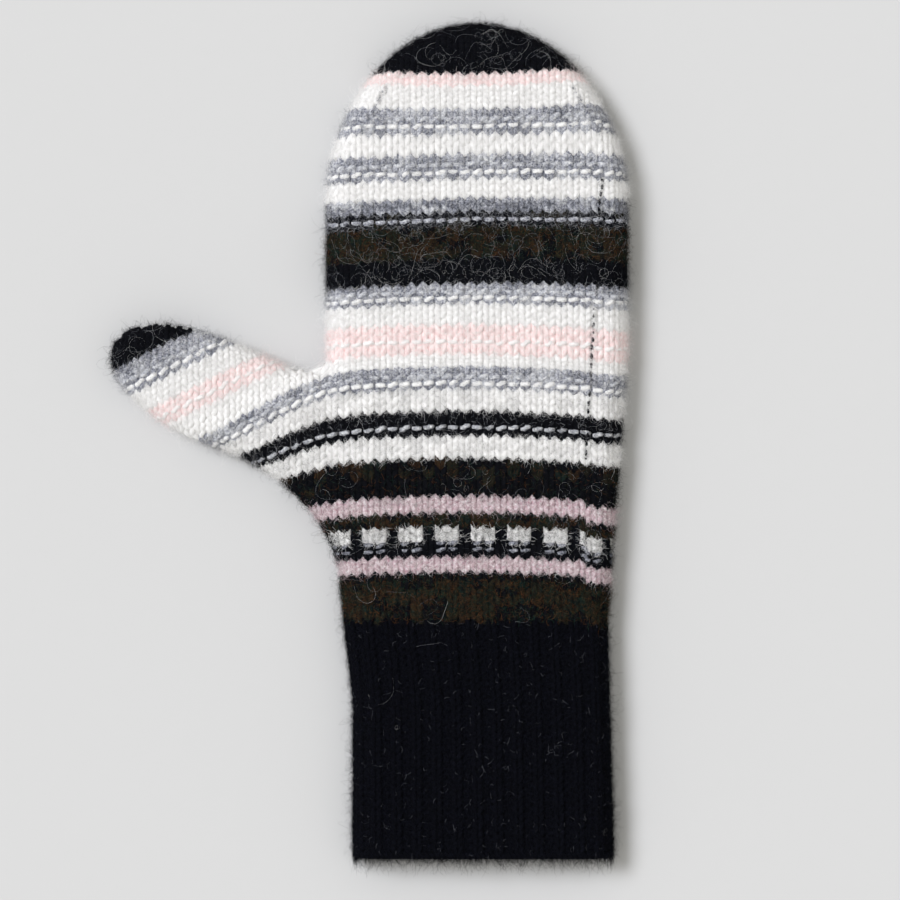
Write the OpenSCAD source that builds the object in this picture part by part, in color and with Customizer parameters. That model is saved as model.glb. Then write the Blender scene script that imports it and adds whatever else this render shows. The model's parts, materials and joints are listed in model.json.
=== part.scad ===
// A hand-knitted wool mitten lying flat, fingers toward +Y and thumb toward -X.
// Every stripe is its own length of yarn, knitted as a closed tube of courses.
// Origin: under the middle of the wrist, on the surface the mitten lies on.

/* [Cuff] */
// Length of the ribbed cuff
cuff_length = 78; // [60:1:100]
// Width of the ribbed cuff, lying flat
cuff_width = 87.4; // [76:0.2:92]
// How far the cuff's open edge leans toward +X
cuff_lean = 2.1; // [0:0.1:5]

/* [Hand] */
// Width of the wrist, lying flat
wrist_width = 88.4; // [80:0.2:94]
// Width across the knuckles, lying flat
hand_width = 100.8; // [94:0.2:108]
// Wrist to fingertips
hand_length = 199.5; // [190:0.5:215]
// Wrist to the start of the rounded fingertips
dome_start = 140; // [130:1:150]
// Wrist to the crotch of the thumb
crotch_height = 84; // [80:1:88]

/* [Thumb] */
// Length of the thumb along its axis
thumb_length = 68; // [60:1:75]
// Half of the thumb's width, lying flat
thumb_half_width = 18.2; // [16:0.2:20]
// Direction of the thumb's axis, counted from +X
thumb_angle = 155; // [150:1:160]
// Middle of the thumb's root
thumb_root = [-59.2, 64.8]; // [-62:0.2:70]

/* [Fabric] */
// Thickness of the whole mitten, lying flat
thickness = 14; // [12:0.5:18]
// Thickness of the felted knit
wall = 3.5; // [2.5:0.1:4]
// Clearance between one stripe's courses and the next
course_gap = 0.2; // [0.1:0.05:0.4]
// Thickness of the white stitches set in the block stripe
block_depth = 0.6; // [0.4:0.1:1]
// Thickness of the strand carried up inside the hand
strand_width = 1.2; // [0.8:0.1:1.6]

/* [Hidden] */

// Heights of the courses where one stripe changes to the next, at the mitten's middle
tweed_top = 16.2;
lower_pink_top = 21.6;
block_top = 31.5;
olive_top = 36.1;
upper_pink_top = 41.6;
black_tweed_top = 53.9;
palm_white_top = 61.2;
black_dash_top = 69.4;
gusset_white_top = 76.7;
gusset_grey_top = crotch_height;
hand_white_top = 91.3;
hand_pink_top = 98;
knuckle_white_top = 105;
knuckle_grey_top = 111.9;
knuckle_black_top = 120.6;
knuckle_tweed_top = 131.3;
dark_dash_top = 140.6;
finger_white_top = 147;
finger_grey_top = 155;
fingertip_white_top = 162;
fingertip_grey_top = 170.3;
dome_white_top = 178;
dome_pink_top = 182;

// Where the gusset ends on the thumb's lower edge, and where each thumb stripe starts,
// along the thumb's lower edge and along its upper edge
gusset_reach = 28;
thumb_pink_edges = [40.4, 12.2];
thumb_upper_white_edges = [46.2, 21.7];
thumb_grey_edges = [55.7, 30.9];
thumb_tip_edges = [63.2, 42.5];

// How far the dome's curve pulls along the hand's side and along its blunt end
dome_side_pull = 26;
dome_end_pull = 31;
dome_steps = 40;
// How blunt the thumb's end is, how far the thumb hangs below its axis,
// and how much wider its slanting courses need to be rounded at their ends
thumb_power = 4;
thumb_droop = 1.5;
thumb_shear = 1.25;
// How much lower the courses stand at the right-hand side, where each round starts,
// how far the palm's last course dips and then bulges before it bends down into the gusset,
// and how far the hand's courses sag at both ends
round_drop = 1.2;
gusset_dip = 6.6;
gusset_bulge = 18.3;
hand_sag = 1.5;
// Share of the hand's sides over which its courses take over from the crotch course
crotch_blend = 0.25;
// The last sliver of a tip, and the share of the thumb's first stripe left free at each end
tip_end = 0.1;
root_gap = 0.02;

// White blocks in the block stripe
block_count = 7;
block_pitch = 12.1;
first_block_x = -34.3;
block_size = [7.4, 5.2];
block_rise = 2.9;

end_steps = 6;
flat_steps = 10;

thumb_along = [cos(thumb_angle), sin(thumb_angle)];
thumb_across = [sin(thumb_angle), -cos(thumb_angle)];

function mix(a, b, t) = a + (b - a) * t;
function bezier(a, b, c, d, t) =
    pow(1 - t, 3) * a + 3 * t * pow(1 - t, 2) * b + 3 * t * t * (1 - t) * c + pow(t, 3) * d;

// Right-hand edge of the cuff and the palm, and left-hand edge below the thumb
function right_x(y) = y < 0
    ? mix(wrist_width / 2 - 0.5, cuff_width / 2 + cuff_lean, -y / cuff_length)
    : mix(wrist_width / 2 - 0.5, hand_width / 2, min(1, y / crotch_height));
function left_x(y) = y < 0
    ? mix(-wrist_width / 2 - 0.5, cuff_lean - cuff_width / 2, min(1, -y / (cuff_length / 3)))
    : mix(-wrist_width / 2 - 0.5, gusset_start[0], y / tweed_top);

// The gusset's lower edge, curving out of the palm's side into the thumb
gusset_start = [-46, tweed_top];
gusset_end = thumb_point(gusset_reach, -1);
function gusset_edge(t) = bezier(gusset_start, [-49.5, 35], [-67, 52.5], gusset_end, t);

// A point on the thumb's edge: side 1 is the upper edge, -1 the lower one
function thumb_half(t) = thumb_half_width * sqrt(max(0, 1 - pow(max(0, t) / thumb_length, thumb_power)));
function thumb_point(t, side) =
    thumb_root + thumb_along * t + thumb_across * (side * thumb_half(t) - thumb_droop);

// The highest course of the palm, and where along it the thumb parts from the hand
crotch_course = palm_course(crotch_height);
crotch_split = 0.705;

// Half of the hand's width above the crotch, drawn in by the dome's curve
dome_curve = [for (i = [0:dome_steps])
    bezier([hand_width / 2, dome_start], [hand_width / 2, dome_start + dome_side_pull],
           [dome_end_pull, hand_length], [0, hand_length], i / dome_steps)];
function hand_half(y) = lookup(y, [for (p = dome_curve) [p[1], p[0]]]);

// The four control points of one course, from its right-hand end to its left-hand end
function straight(a, b) = [a, mix(a, b, 1 / 3), mix(a, b, 2 / 3), b];
function palm_course(y) =
    let (
        t = max(0, (y - tweed_top) / (crotch_height - tweed_top)),
        right = [right_x(y), y],
        left = t > 0 ? gusset_edge(t) : [left_x(y), y],
        level = straight(right, [left[0], y]),
        drop = [0, round_drop * min(1, max(0, y / tweed_top))],
        dip = [0, gusset_dip * t * t],
        bulge = [0, gusset_bulge * t * t]
    )
    [right - drop, level[1] - dip, level[2] + bulge, left];
function hand_course(y) =
    let (
        above = (y - crotch_height) / (dome_start - crotch_height),
        sag = hand_sag * (1 - min(1, above)),
        ends = straight([hand_half(y), y - sag], [-hand_half(y), y - sag]),
        rise = [0, 2 * sag],
        level = [ends[0], ends[1] + rise, ends[2] + rise, ends[3]]
    )
    mix(before(crotch_course, crotch_split), level, min(1, above / crotch_blend));
function thumb_course(edges) = straight(thumb_point(edges[1], 1), thumb_point(edges[0], -1));

// The two parts of a course that is divided at t, where the hand and the thumb go their own ways
function before(c, t) =
    let (ab = mix(c[0], c[1], t), bc = mix(c[1], c[2], t), abc = mix(ab, bc, t))
    [c[0], ab, abc, bezier(c[0], c[1], c[2], c[3], t)];
function after(c, t) =
    let (reversed = before([c[3], c[2], c[1], c[0]], 1 - t))
    [reversed[3], reversed[2], reversed[1], reversed[0]];

// One closed ring of fabric round a course: inset 0 is the outer face, wall is the inner one
function ring(course, inset, height = thickness, shear = 1) =
    let (
        length = norm(course[3] - course[0]),
        deep = max(0.05, height / 2 - inset),
        round = min(deep * shear, length / 2 - inset * shear) / length,
        start = inset * shear / length,
        turn = [for (i = [0:end_steps]) 180 * i / end_steps - 90],
        right_end = [for (a = turn) [start + round * (1 - cos(a)), deep * sin(a)]],
        top = [for (i = [1:flat_steps - 1])
            [mix(start + round, 1 - start - round, i / flat_steps), deep]],
        half = concat(right_end, top),
        loop = concat(half, [for (p = half) [1 - p[0], -p[1]]])
    )
    [for (p = loop)
        let (q = bezier(course[0], course[1], course[2], course[3], p[0]))
        [q[0], q[1], thickness / 2 + p[1]]];

// Faces that close a ring of n points, joining its upper half to its lower half
function closing_faces(first, n, flip) =
    let (middle = end_steps / 2)
    [for (i = [middle:middle + n / 2 - 1])
        let (a = first + i, b = first + i + 1,
             c = first + (n + end_steps - i - 1) % n, d = first + (n + end_steps - i) % n)
        each [if (b != c) flip ? [c, b, a] : [a, b, c], if (a != d) flip ? [d, c, a] : [a, c, d]]];

// Joins a list of rings into one closed skin; a skin that isn't a loop is closed at both ends
module skin(rings, is_loop) {
    n = len(rings[0]);
    m = len(rings);
    last = is_loop ? m - 1 : m - 2;
    sides = [for (r = [0:last]) for (i = [0:n - 1])
        let (a = r * n + i, b = r * n + (i + 1) % n, up = ((r + 1) % m) * n)
        each [[a, up + i, b], [b, up + i, up + (i + 1) % n]]];
    ends = is_loop ? [] : concat(closing_faces(0, n, false), closing_faces((m - 1) * n, n, true));
    polyhedron(points = [for (r = rings) each r], faces = concat(sides, ends), convexity = 8);
}

// A stripe's tube of fabric between its lowest and its highest course
module tube(courses, shear = 1, height = thickness) {
    outer = [for (c = courses) ring(c, 0, height, shear)];
    inner = [for (i = [len(courses) - 1:-1:0]) ring(courses[i], wall, height, shear)];
    skin(concat(outer, inner), true);
}

// A stripe that ends in a closed tip: tips holds [course, thickness] pairs for each face
module closed_tip(outer_tips, inner_tips, shear = 1) {
    inner = [for (i = [len(inner_tips) - 1:-1:0]) ring(inner_tips[i][0], wall, inner_tips[i][1], shear)];
    outer = [for (tip = outer_tips) ring(tip[0], 0, tip[1], shear)];
    skin(concat(inner, outer), false);
}

// The courses between two stripe changes, drawn in by half of the gap at each end
function levels(from, to, steps) =
    [for (i = [0:steps]) mix(from + course_gap / 2, to - course_gap / 2, i / steps)];
module palm_stripe(from, to, steps = 2, height = thickness) {
    tube([for (y = levels(from, to, steps)) palm_course(y)], 1, height);
}
module hand_stripe(from, to, steps = 1) {
    tube([for (y = levels(from, to, steps)) hand_course(y)]);
}
module thumb_stripe(from, to) {
    inset = [course_gap, course_gap];
    tube([for (i = [0:2]) thumb_course(mix(from + inset, to - inset, i / 2))], thumb_shear);
}

// Thickness of a tip that rounds off to nothing over its last stretch
function tip_height(left, full) = full * sqrt(max(0.0004, 1 - pow(1 - min(1, left / (full / 2)), 2)));

module rib_cuff() {
    color([0.035, 0.04, 0.06])
        palm_stripe(-cuff_length, 0, 3);
}
module wrist_tweed_stripe() {
    color([0.14, 0.14, 0.10])
        palm_stripe(0, tweed_top);
}
module lower_pink_stripe() {
    color([0.88, 0.74, 0.76])
        palm_stripe(tweed_top, lower_pink_top);
}
module block_stripe() {
    color([0.05, 0.055, 0.07])
        palm_stripe(lower_pink_top, block_top, 2, thickness - 2 * block_depth);
}
module white_blocks() {
    first_left = first_block_x - block_size[0] / 2;
    color([0.88, 0.88, 0.87])
        for (i = [0:block_count - 1]) for (z = [0, thickness - block_depth])
            translate([first_left + i * block_pitch, lower_pink_top + block_rise, z])
                cube([block_size[0], block_size[1], block_depth]);
}
module olive_stripe() {
    color([0.14, 0.14, 0.10])
        palm_stripe(block_top, olive_top);
}
module upper_pink_stripe() {
    color([0.88, 0.74, 0.76])
        palm_stripe(olive_top, upper_pink_top);
}
module black_tweed_stripe() {
    color([0.08, 0.08, 0.08])
        palm_stripe(upper_pink_top, black_tweed_top);
}
module palm_white_stripe() {
    color([0.88, 0.88, 0.86])
        palm_stripe(black_tweed_top, palm_white_top);
}
module black_dash_stripe() {
    color([0.06, 0.065, 0.08])
        palm_stripe(palm_white_top, black_dash_top);
}
module gusset_white_stripe() {
    color([0.88, 0.88, 0.86])
        palm_stripe(black_dash_top, gusset_white_top);
}
module gusset_grey_stripe() {
    color([0.6, 0.62, 0.66])
        palm_stripe(gusset_white_top, gusset_grey_top);
}
module hand_white_stripe() {
    color([0.93, 0.93, 0.92])
        hand_stripe(gusset_grey_top, hand_white_top, 3);
}
module hand_pink_stripe() {
    color([0.95, 0.84, 0.84])
        hand_stripe(hand_white_top, hand_pink_top);
}
module knuckle_white_stripe() {
    color([0.93, 0.93, 0.92])
        hand_stripe(hand_pink_top, knuckle_white_top);
}
module knuckle_grey_stripe() {
    color([0.6, 0.62, 0.66])
        hand_stripe(knuckle_white_top, knuckle_grey_top);
}
module knuckle_black_stripe() {
    color([0.06, 0.065, 0.08])
        hand_stripe(knuckle_grey_top, knuckle_black_top);
}
module knuckle_tweed_stripe() {
    color([0.15, 0.15, 0.10])
        hand_stripe(knuckle_black_top, knuckle_tweed_top);
}
module dark_dash_stripe() {
    color([0.35, 0.36, 0.37])
        hand_stripe(knuckle_tweed_top, dark_dash_top);
}
module finger_white_stripe() {
    color([0.93, 0.93, 0.92])
        hand_stripe(dark_dash_top, finger_white_top);
}
module finger_grey_stripe() {
    color([0.6, 0.62, 0.66])
        hand_stripe(finger_white_top, finger_grey_top);
}
module fingertip_white_stripe() {
    color([0.93, 0.93, 0.92])
        hand_stripe(finger_grey_top, fingertip_white_top);
}
module fingertip_grey_stripe() {
    color([0.6, 0.62, 0.66])
        hand_stripe(fingertip_white_top, fingertip_grey_top, 2);
}
module dome_white_stripe() {
    color([0.93, 0.93, 0.92])
        hand_stripe(fingertip_grey_top, dome_white_top, 2);
}
module dome_pink_stripe() {
    color([0.95, 0.84, 0.84])
        hand_stripe(dome_white_top, dome_pink_top);
}
module black_fingertip() {
    steps = 7;
    start = dome_pink_top + course_gap / 2;
    outer = [for (i = [0:steps]) mix(start, hand_length - tip_end, sin(90 * i / steps))];
    inner = [for (i = [0:steps]) mix(start, hand_length - wall, sin(90 * i / steps))];
    color([0.04, 0.04, 0.05])
        closed_tip(
            [for (y = outer) [hand_course(y), tip_height(hand_length - y, thickness)]],
            [for (y = inner) [hand_course(y),
                2 * wall + tip_height(hand_length - wall - y + 0.05, thickness - 2 * wall)]]);
}
module thumb_white_stripe() {
    root_course = after(crotch_course, crotch_split);
    last_course = thumb_course(thumb_pink_edges);
    steps = 4;
    color([0.93, 0.93, 0.92])
        tube([for (i = [0:steps])
            mix(root_course, last_course, mix(root_gap, 1 - root_gap, i / steps))], thumb_shear);
}
module thumb_pink_stripe() {
    color([0.95, 0.84, 0.84])
        thumb_stripe(thumb_pink_edges, thumb_upper_white_edges);
}
module thumb_upper_white_stripe() {
    color([0.93, 0.93, 0.92])
        thumb_stripe(thumb_upper_white_edges, thumb_grey_edges);
}
module thumb_grey_stripe() {
    color([0.6, 0.62, 0.66])
        thumb_stripe(thumb_grey_edges, thumb_tip_edges);
}
module black_thumb_tip() {
    steps = 6;
    start = thumb_tip_edges + [course_gap, course_gap];
    outer_end = [thumb_length - tip_end / 5, thumb_length - tip_end];
    inner_end = [thumb_length - 1.5, thumb_length - wall];
    outer = [for (i = [0:steps]) mix(start, outer_end, sin(90 * i / steps))];
    inner = [for (i = [0:steps]) mix(start, inner_end, sin(90 * i / steps))];
    color([0.04, 0.04, 0.05])
        closed_tip(
            [for (e = outer) [thumb_course(e), tip_height(thumb_length - e[1], thickness)]],
            [for (e = inner) [thumb_course(e),
                2 * wall + tip_height(thumb_length - wall - e[1] + 0.05, thickness - 2 * wall)]],
            thumb_shear);
}

// The strand lies against the inside of the upper layer, near the mitten's right-hand side
module carried_strand(from, to) {
    z = thickness - wall - course_gap - strand_width / 2;
    span = norm([to[0] - from[0], to[1] - from[1]]);
    translate([from[0], from[1], z])
        rotate([-90, 0, atan2(from[0] - to[0], to[1] - from[1])])
            cylinder(h = span, d = strand_width, $fn = 24);
}
module carried_strand_palm() {
    color([0.08, 0.08, 0.09])
        carried_strand([36.5, black_tweed_top], [38.5, knuckle_black_top - 0.3]);
}
module carried_strand_fingers() {
    color([0.08, 0.08, 0.09])
        carried_strand([39, knuckle_tweed_top + 0.3], [40.5, finger_white_top]);
}

rib_cuff();
wrist_tweed_stripe();
lower_pink_stripe();
block_stripe();
white_blocks();
olive_stripe();
upper_pink_stripe();
black_tweed_stripe();
palm_white_stripe();
black_dash_stripe();
gusset_white_stripe();
gusset_grey_stripe();
hand_white_stripe();
hand_pink_stripe();
knuckle_white_stripe();
knuckle_grey_stripe();
knuckle_black_stripe();
knuckle_tweed_stripe();
dark_dash_stripe();
finger_white_stripe();
finger_grey_stripe();
fingertip_white_stripe();
fingertip_grey_stripe();
dome_white_stripe();
dome_pink_stripe();
black_fingertip();
thumb_white_stripe();
thumb_pink_stripe();
thumb_upper_white_stripe();
thumb_grey_stripe();
black_thumb_tip();
carried_strand_palm();
carried_strand_fingers();
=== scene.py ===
"""A striped, felted wool mitten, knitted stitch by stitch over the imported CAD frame.

Lengths are millimetres until a mesh is made. Every stitch, strand and hair is laid out on two flat layers,
the upper and the lower one, and surface() then folds the layers together along the mitten's outline.
"""
import json
import math
from collections import namedtuple

import bpy
import numpy as np
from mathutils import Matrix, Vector
from mathutils.kdtree import KDTree


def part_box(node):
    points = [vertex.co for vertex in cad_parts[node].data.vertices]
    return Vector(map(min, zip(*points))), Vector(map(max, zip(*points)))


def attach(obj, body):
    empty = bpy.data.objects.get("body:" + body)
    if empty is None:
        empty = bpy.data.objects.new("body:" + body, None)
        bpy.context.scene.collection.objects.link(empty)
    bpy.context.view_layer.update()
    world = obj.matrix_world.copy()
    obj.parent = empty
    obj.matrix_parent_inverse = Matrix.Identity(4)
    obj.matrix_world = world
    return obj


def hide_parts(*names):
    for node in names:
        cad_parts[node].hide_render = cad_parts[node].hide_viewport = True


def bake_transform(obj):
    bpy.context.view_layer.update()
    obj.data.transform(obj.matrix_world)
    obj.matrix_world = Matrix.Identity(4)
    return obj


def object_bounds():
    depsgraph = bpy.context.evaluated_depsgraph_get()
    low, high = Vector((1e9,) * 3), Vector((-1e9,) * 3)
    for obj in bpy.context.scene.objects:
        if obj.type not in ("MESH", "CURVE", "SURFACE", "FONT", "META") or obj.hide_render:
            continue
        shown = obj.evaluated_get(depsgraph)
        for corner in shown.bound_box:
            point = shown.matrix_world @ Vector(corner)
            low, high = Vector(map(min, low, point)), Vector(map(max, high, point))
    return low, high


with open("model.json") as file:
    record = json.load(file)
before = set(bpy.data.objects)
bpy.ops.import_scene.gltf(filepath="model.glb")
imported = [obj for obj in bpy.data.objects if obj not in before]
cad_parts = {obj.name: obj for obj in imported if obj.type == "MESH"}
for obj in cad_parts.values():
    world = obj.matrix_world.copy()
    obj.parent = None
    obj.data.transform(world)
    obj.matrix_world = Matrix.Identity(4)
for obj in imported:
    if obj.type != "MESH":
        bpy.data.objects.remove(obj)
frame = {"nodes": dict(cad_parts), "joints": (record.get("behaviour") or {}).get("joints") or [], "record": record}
cad_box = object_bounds()
MM = 0.001
rng = np.random.default_rng(11)


# ---------------------------------------------------------------- sizes taken from the frame

def corners(node):
    """The lowest and the highest corner of a CAD node, in mm."""
    low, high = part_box(node)
    return np.array(low) / MM, np.array(high) / MM


def node_points(node):
    return np.array([v.co for v in frame["nodes"][node].data.vertices]) / MM


def middle_span(node, reach=14.0):
    """The lowest and the highest course of a stripe where it crosses the mitten's middle."""
    points = node_points(node)
    near = points[np.abs(points[:, 0]) < reach]
    return near[:, 1].min(), near[:, 1].max()


def side_edges(node, top):
    """Where the left and right edges of a stripe stand at its top or its bottom."""
    points = node_points(node)
    level = points[:, 1].max() if top else points[:, 1].min()
    ends = points[np.abs(points[:, 1] - level) < 0.3]
    return ends[:, 0].min(), ends[:, 0].max()


LOW, HIGH = np.array(cad_box[0]) / MM, np.array(cad_box[1]) / MM
MIDDLE_Z = (LOW[2] + HIGH[2]) / 2
FOLD_RADIUS = (HIGH[2] - LOW[2]) / 2 - 0.4
MOUTH_Y = LOW[1]
WRIST_Y = middle_span("rib_cuff")[1]
TIP_Y = HIGH[1]
CROTCH_Y = middle_span("gusset_grey_stripe")[1]
DOME_Y = middle_span("dark_dash_stripe")[1]
HAND_HALF = (corners("knuckle_tweed_stripe")[1][0] - corners("knuckle_tweed_stripe")[0][0]) / 2
MOUTH_LEFT, MOUTH_RIGHT = side_edges("rib_cuff", top=False)
WRIST_LEFT, WRIST_RIGHT = side_edges("rib_cuff", top=True)
TWEED_Y = middle_span("wrist_tweed_stripe")[1]
GUSSET_START = np.array([side_edges("wrist_tweed_stripe", top=True)[0], TWEED_Y])

# the thumb's own line, as the frame's design has it
THUMB_ROOT = np.array([-59.2, 64.8])
THUMB_ANGLE = math.radians(155)
THUMB_LENGTH = 68.0
THUMB_HALF = 18.2
THUMB_DROOP = 1.5
CROTCH = np.array([-HAND_HALF, CROTCH_Y - 1.5])
DOME_PULLS = 26.0, 31.0
THUMB_POWER = 4.0
GUSSET_REACH = 28.0
GUSSET_PULLS = np.array([-49.5, 35.0]), np.array([-67.0, 52.5])


# ---------------------------------------------------------------- the outline and the fold along it

def bezier(a, b, c, d, t):
    t = t[:, None]
    return (1 - t) ** 3 * a + 3 * t * (1 - t) ** 2 * b + 3 * t * t * (1 - t) * c + t ** 3 * d


def thumb_edge(t, side):
    """Points on the thumb's edge at lengths t along its axis; side is 1 for the upper edge."""
    along = np.array([math.cos(THUMB_ANGLE), math.sin(THUMB_ANGLE)])
    across = np.array([math.sin(THUMB_ANGLE), -math.cos(THUMB_ANGLE)])
    half = THUMB_HALF * np.sqrt(np.maximum(0, 1 - (np.maximum(0, t) / THUMB_LENGTH) ** THUMB_POWER))
    return THUMB_ROOT + t[:, None] * along + (side * half - THUMB_DROOP)[:, None] * across


def outline():
    """The mitten's edge as seen from above, from the cuff's right corner round to its left corner.
    Both ends run on below the mouth, because the mouth is open and has no fold."""
    below = 60.0
    side = np.array([HAND_HALF, DOME_Y])
    end = np.array([0, TIP_Y])
    dome_t = np.linspace(0, 1, 60)
    right_dome = bezier(side, side + [0, DOME_PULLS[0]], end + [DOME_PULLS[1], 0], end, dome_t)
    left_dome = right_dome[::-1] * [-1, 1]
    thumb_t = THUMB_LENGTH * np.sqrt(np.sin(np.linspace(0, math.pi / 2, 60)))
    upper = thumb_edge(thumb_t[thumb_t > 3], 1)
    lower = thumb_edge(thumb_t[thumb_t > GUSSET_REACH][::-1], -1)
    gusset = bezier(GUSSET_START, *GUSSET_PULLS, lower[-1], np.linspace(1, 0, 40))
    parts = [
        [[MOUTH_RIGHT, MOUTH_Y - below], [MOUTH_RIGHT, MOUTH_Y]],
        [[WRIST_RIGHT, WRIST_Y], [HAND_HALF, CROTCH_Y + 6]],
        right_dome, left_dome[1:], [CROTCH], upper, lower[1:], gusset[1:],
        [[WRIST_LEFT, WRIST_Y], [MOUTH_LEFT, MOUTH_Y + 52]],
        [[MOUTH_LEFT, MOUTH_Y], [MOUTH_LEFT, MOUTH_Y - below]],
    ]
    return np.concatenate([np.asarray(p, float) for p in parts])


def resample(points, step):
    length = np.concatenate([[0], np.cumsum(np.linalg.norm(np.diff(points, axis=0), axis=1))])
    at = np.linspace(0, length[-1], int(length[-1] / step))
    return np.stack([np.interp(at, length, points[:, i]) for i in (0, 1)], 1)


def smooth(points, rounds):
    """Rounds off corners while the two ends stay where they are."""
    for _ in range(rounds):
        points[1:-1] = (points[:-2] + 2 * points[1:-1] + points[2:]) / 4
    return points


class EdgeField:
    """Distance inside the outline, and the direction out of it, on a grid that covers the mitten."""

    STEP = 0.5
    MARGIN = 14.0

    def __init__(self, points):
        self.x0, self.y0 = LOW[0] - self.MARGIN, LOW[1] - self.MARGIN
        xs = np.arange(self.x0, HIGH[0] + self.MARGIN, self.STEP)
        ys = np.arange(self.y0, HIGH[1] + self.MARGIN, self.STEP)
        tree = KDTree(len(points))
        for i, (x, y) in enumerate(points):
            tree.insert((x, y, 0), i)
        tree.balance()
        near = np.array([[tree.find((x, y, 0))[1] for x in xs] for y in ys])
        grid = np.stack(np.meshgrid(xs, ys), -1)
        gap = np.minimum(self.to_segment(grid, points, near), self.to_segment(grid, points, near - 1))
        self.inside = np.where(self.is_inside(xs, ys, points), gap, -gap)
        down, across = np.gradient(self.inside, self.STEP)
        size = np.maximum(1e-6, np.hypot(across, down))
        self.out_x, self.out_y = -across / size, -down / size

    @staticmethod
    def to_segment(grid, points, first):
        a = points[np.clip(first, 0, len(points) - 2)]
        b = points[np.clip(first, 0, len(points) - 2) + 1]
        along = ((grid - a) * (b - a)).sum(-1) / np.maximum(1e-9, ((b - a) ** 2).sum(-1))
        return np.linalg.norm(grid - a - np.clip(along, 0, 1)[..., None] * (b - a), axis=-1)

    @staticmethod
    def is_inside(xs, ys, points):
        a, b = points, np.roll(points, -1, axis=0)
        result = np.zeros((len(ys), len(xs)), bool)
        for row, y in enumerate(ys):
            crosses = (a[:, 1] > y) != (b[:, 1] > y)
            p, q = a[crosses], b[crosses]
            at = p[:, 0] + (y - p[:, 1]) * (q[:, 0] - p[:, 0]) / (q[:, 1] - p[:, 1])
            result[row] = (at[:, None] > xs[None, :]).sum(0) % 2 == 1
        return result

    def __call__(self, x, y):
        """Distance inside the outline and the outward direction at each place."""
        col = np.clip((x - self.x0) / self.STEP, 0, self.inside.shape[1] - 1.001)
        row = np.clip((y - self.y0) / self.STEP, 0, self.inside.shape[0] - 1.001)
        i, j = row.astype(int), col.astype(int)
        u, v = row - i, col - j
        found = []
        for values in (self.inside, self.out_x, self.out_y):
            low = values[i, j] * (1 - v) + values[i, j + 1] * v
            high = values[i + 1, j] * (1 - v) + values[i + 1, j + 1] * v
            found.append(low * (1 - u) + high * u)
        return found


edge_field = EdgeField(smooth(resample(outline(), 0.5), 12))
FOLD_SPARE = (math.pi / 2 - 1) * FOLD_RADIUS


def soft_noise(x, y, scale, seed):
    """A gentle, repeatable waviness between -1 and 1."""
    pick = np.random.default_rng(seed)
    total = np.zeros_like(np.asarray(x, float))
    for _ in range(6):
        way = pick.uniform(0, 2 * math.pi)
        stretch = pick.uniform(0.6, 1.6) / scale
        total += np.sin((x * math.cos(way) + y * math.sin(way)) * stretch + pick.uniform(0, 2 * math.pi))
    return total / 6


def fold_turn(inside):
    """How far the knit has turned into the fold: a quarter turn on the flat, 0 at the very edge."""
    return np.clip((inside + FOLD_SPARE) / FOLD_RADIUS, -math.pi / 2, math.pi / 2)


def fold_push(inside, turn):
    """How far the fold draws a place of the flat layer inward."""
    return np.where(turn < math.pi / 2, FOLD_RADIUS * (1 - np.cos(turn)) - inside, 0)


def surface(x, y, side, depth):
    """Points in space for places on the flat layers, and the outward direction there.
    side is 1 on the upper layer and -1 on the lower one; depth counts outward from the knit's face."""
    inside, out_x, out_y = edge_field(x, y)
    turn = fold_turn(inside)
    inward = fold_push(inside, turn)
    crown = CROWN * (1 - np.exp(-np.maximum(0, inside - 2) / CROWN_REACH))
    lift = np.where(side > 0, crown + PUCKER * soft_noise(x, y, 9.0, 5), 0) * np.sin(np.maximum(0, turn))
    flat, upright = np.cos(turn), np.sin(turn) * side
    points = np.stack([
        x - out_x * inward + depth * out_x * flat,
        y - out_y * inward + depth * out_y * flat,
        MIDDLE_Z + upright * FOLD_RADIUS + lift + depth * upright,
    ], -1)
    normals = np.stack([out_x * flat, out_y * flat, upright], -1)
    return points, normals


CROWN = 2.2
CROWN_REACH = 12.0
PUCKER = 0.5


# ---------------------------------------------------------------- courses: the rows of knitting

# Every stripe, from the cuff to the fingertips, with the number of courses knitted in it
COURSES = [
    ("rib_cuff", 30), ("wrist_tweed_stripe", 6), ("lower_pink_stripe", 2), ("block_stripe", 4),
    ("olive_stripe", 2), ("upper_pink_stripe", 2), ("black_tweed_stripe", 4), ("palm_white_stripe", 3),
    ("black_dash_stripe", 3), ("gusset_white_stripe", 3), ("gusset_grey_stripe", 3),
    ("hand_white_stripe", 3), ("hand_pink_stripe", 3), ("knuckle_white_stripe", 3),
    ("knuckle_grey_stripe", 3), ("knuckle_black_stripe", 3), ("knuckle_tweed_stripe", 4),
    ("dark_dash_stripe", 4), ("finger_white_stripe", 3), ("finger_grey_stripe", 3),
    ("fingertip_white_stripe", 2), ("fingertip_grey_stripe", 3), ("dome_white_stripe", 4),
    ("dome_pink_stripe", 2), ("black_fingertip", 8),
]
THUMB_COURSES = [
    ("thumb_white_stripe", 4), ("thumb_pink_stripe", 3), ("thumb_upper_white_stripe", 4),
    ("thumb_grey_stripe", 4), ("black_thumb_tip", 6),
]


def thumb_level(x, y):
    """Which of the thumb's slanting courses a place is on, counted in mm straight up."""
    return y - THUMB_SLOPE * x


def course_table(stripes, start, tops):
    """The level of every course, and between which courses each stripe lies."""
    levels, places = [start], {}
    for (node, count), top in zip(stripes, tops):
        places[node] = (len(levels) - 1, len(levels) - 1 + count)
        levels += list(levels[-1] + (top - levels[-1]) * np.arange(1, count + 1) / count)
    step = levels[-1] - levels[-2]
    return np.array(levels + [levels[-1] + step * i for i in range(1, 5)]), places


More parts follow.
